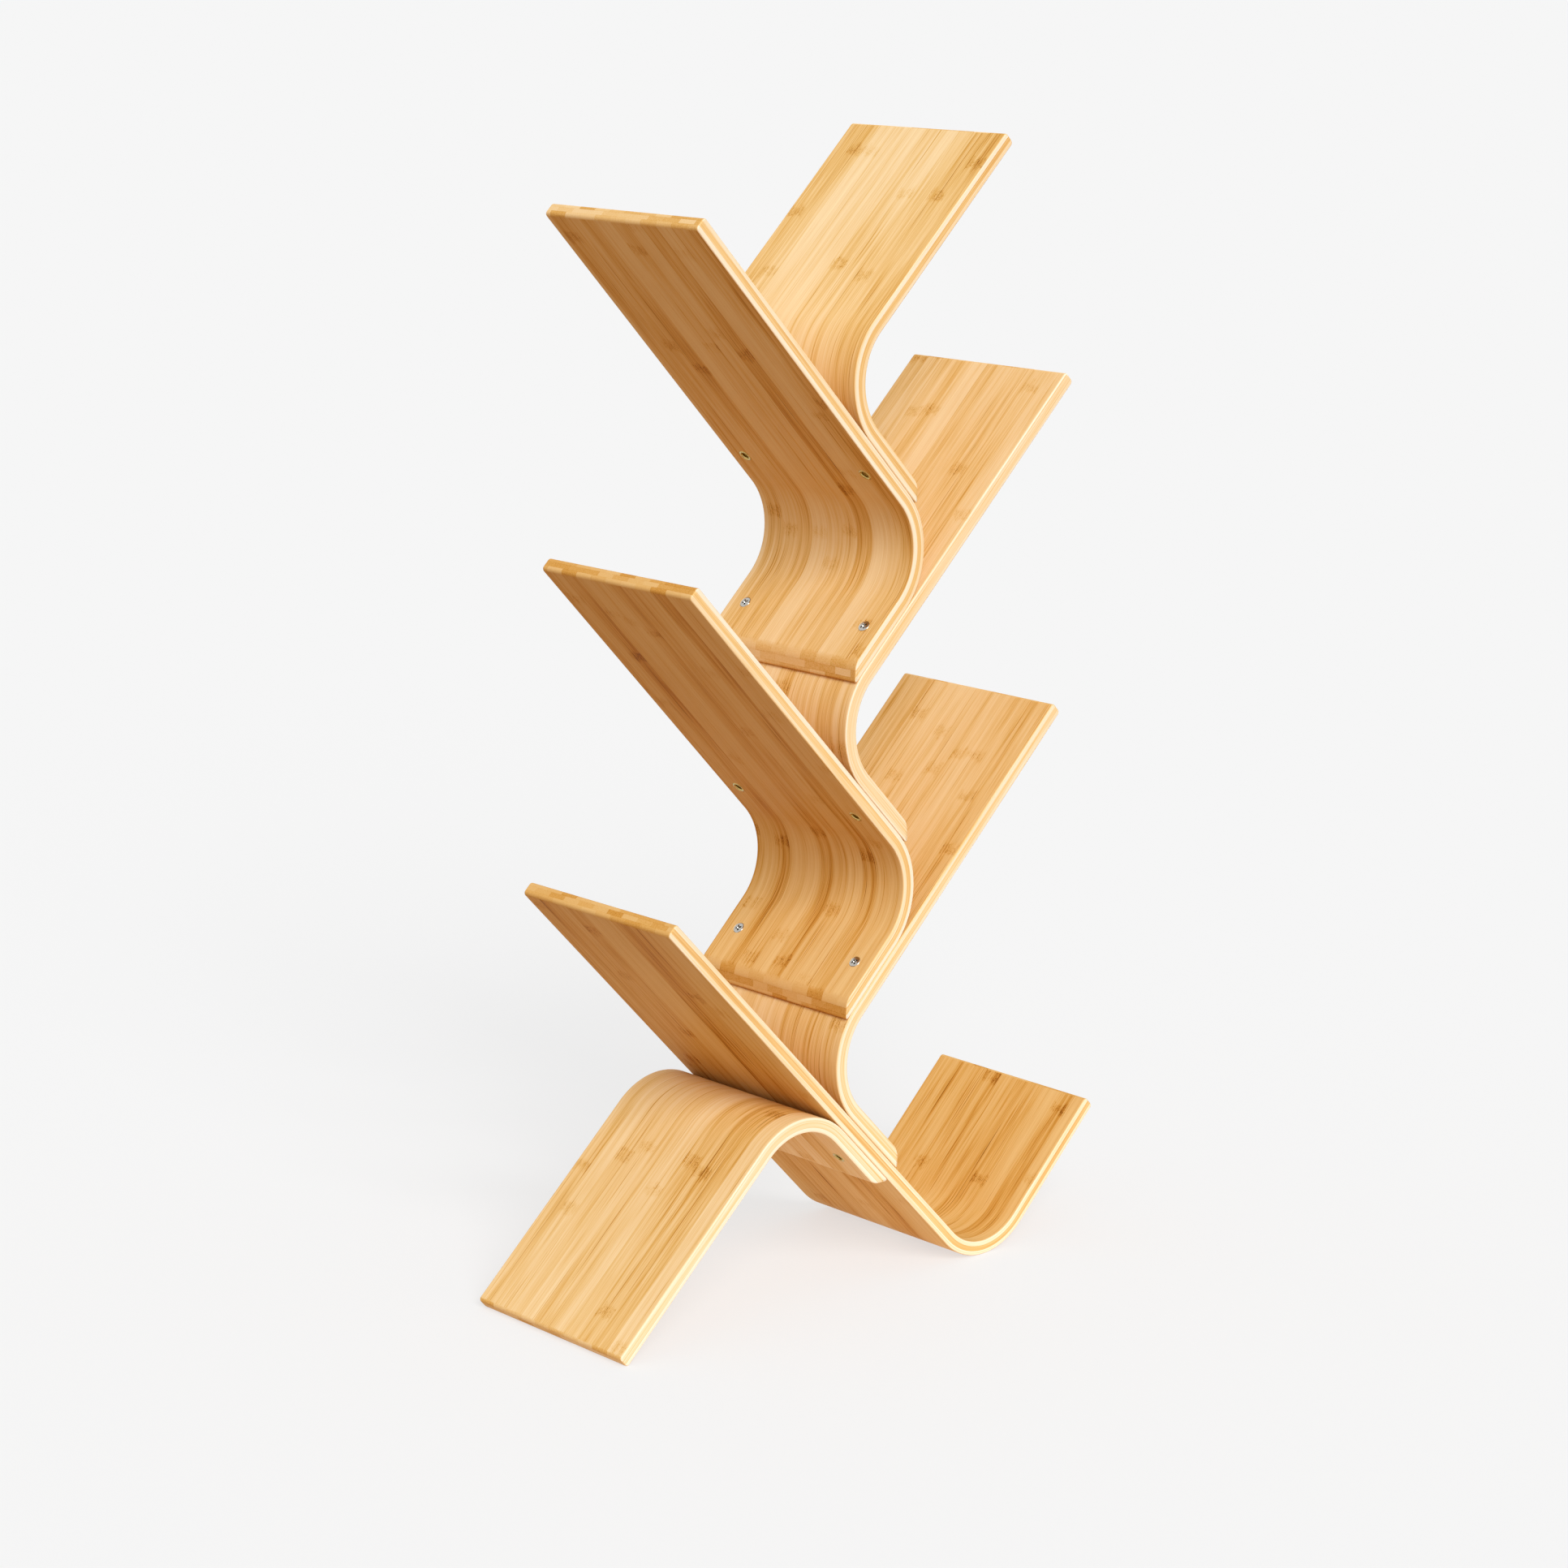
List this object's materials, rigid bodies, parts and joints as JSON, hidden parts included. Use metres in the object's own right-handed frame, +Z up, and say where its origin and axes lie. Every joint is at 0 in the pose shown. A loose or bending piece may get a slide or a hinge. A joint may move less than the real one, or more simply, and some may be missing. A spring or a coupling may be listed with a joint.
{
  "type": "bookshelf",
  "caption": "Free-standing tree-shaped bookshelf of bent bamboo panels bolted on one another, with slanted arms to both sides that hold books.",
  "frame": {"origin": "on the floor, in the middle of the width and of the depth", "axes": "+X across the shelf towards the base's toe, +Y through the depth to the back edges, +Z up"},
  "size_m": [0.6196, 0.2, 1.0798],
  "materials": {
    "bamboo": "satin clear lacquer on side-pressed bamboo strips",
    "screw_steel": "bright zinc plating",
    "nut_brass": "yellow passivated, slightly dull"
  },
  "bodies": {
    "root": {"foot_panel": "bamboo", "base_panel": "bamboo", "lower_right_shelf": "bamboo", "lower_left_shelf": "bamboo", "upper_right_shelf": "bamboo", "upper_left_shelf": "bamboo", "top_shelf": "bamboo", "base_joint_front_screw": "screw_steel", "base_joint_back_screw": "screw_steel", "lower_joint_front_screw": "screw_steel", "lower_joint_back_screw": "screw_steel", "middle_joint_front_screw": "screw_steel", "middle_joint_back_screw": "screw_steel", "upper_joint_front_screw": "screw_steel", "upper_joint_back_screw": "screw_steel", "top_joint_front_screw": "screw_steel", "top_joint_back_screw": "screw_steel", "base_joint_front_nut": "nut_brass", "base_joint_back_nut": "nut_brass", "lower_joint_front_nut": "nut_brass", "lower_joint_back_nut": "nut_brass", "middle_joint_front_nut": "nut_brass", "middle_joint_back_nut": "nut_brass", "upper_joint_front_nut": "nut_brass", "upper_joint_back_nut": "nut_brass", "top_joint_front_nut": "nut_brass", "top_joint_back_nut": "nut_brass"}
  },
  "joints": []
}
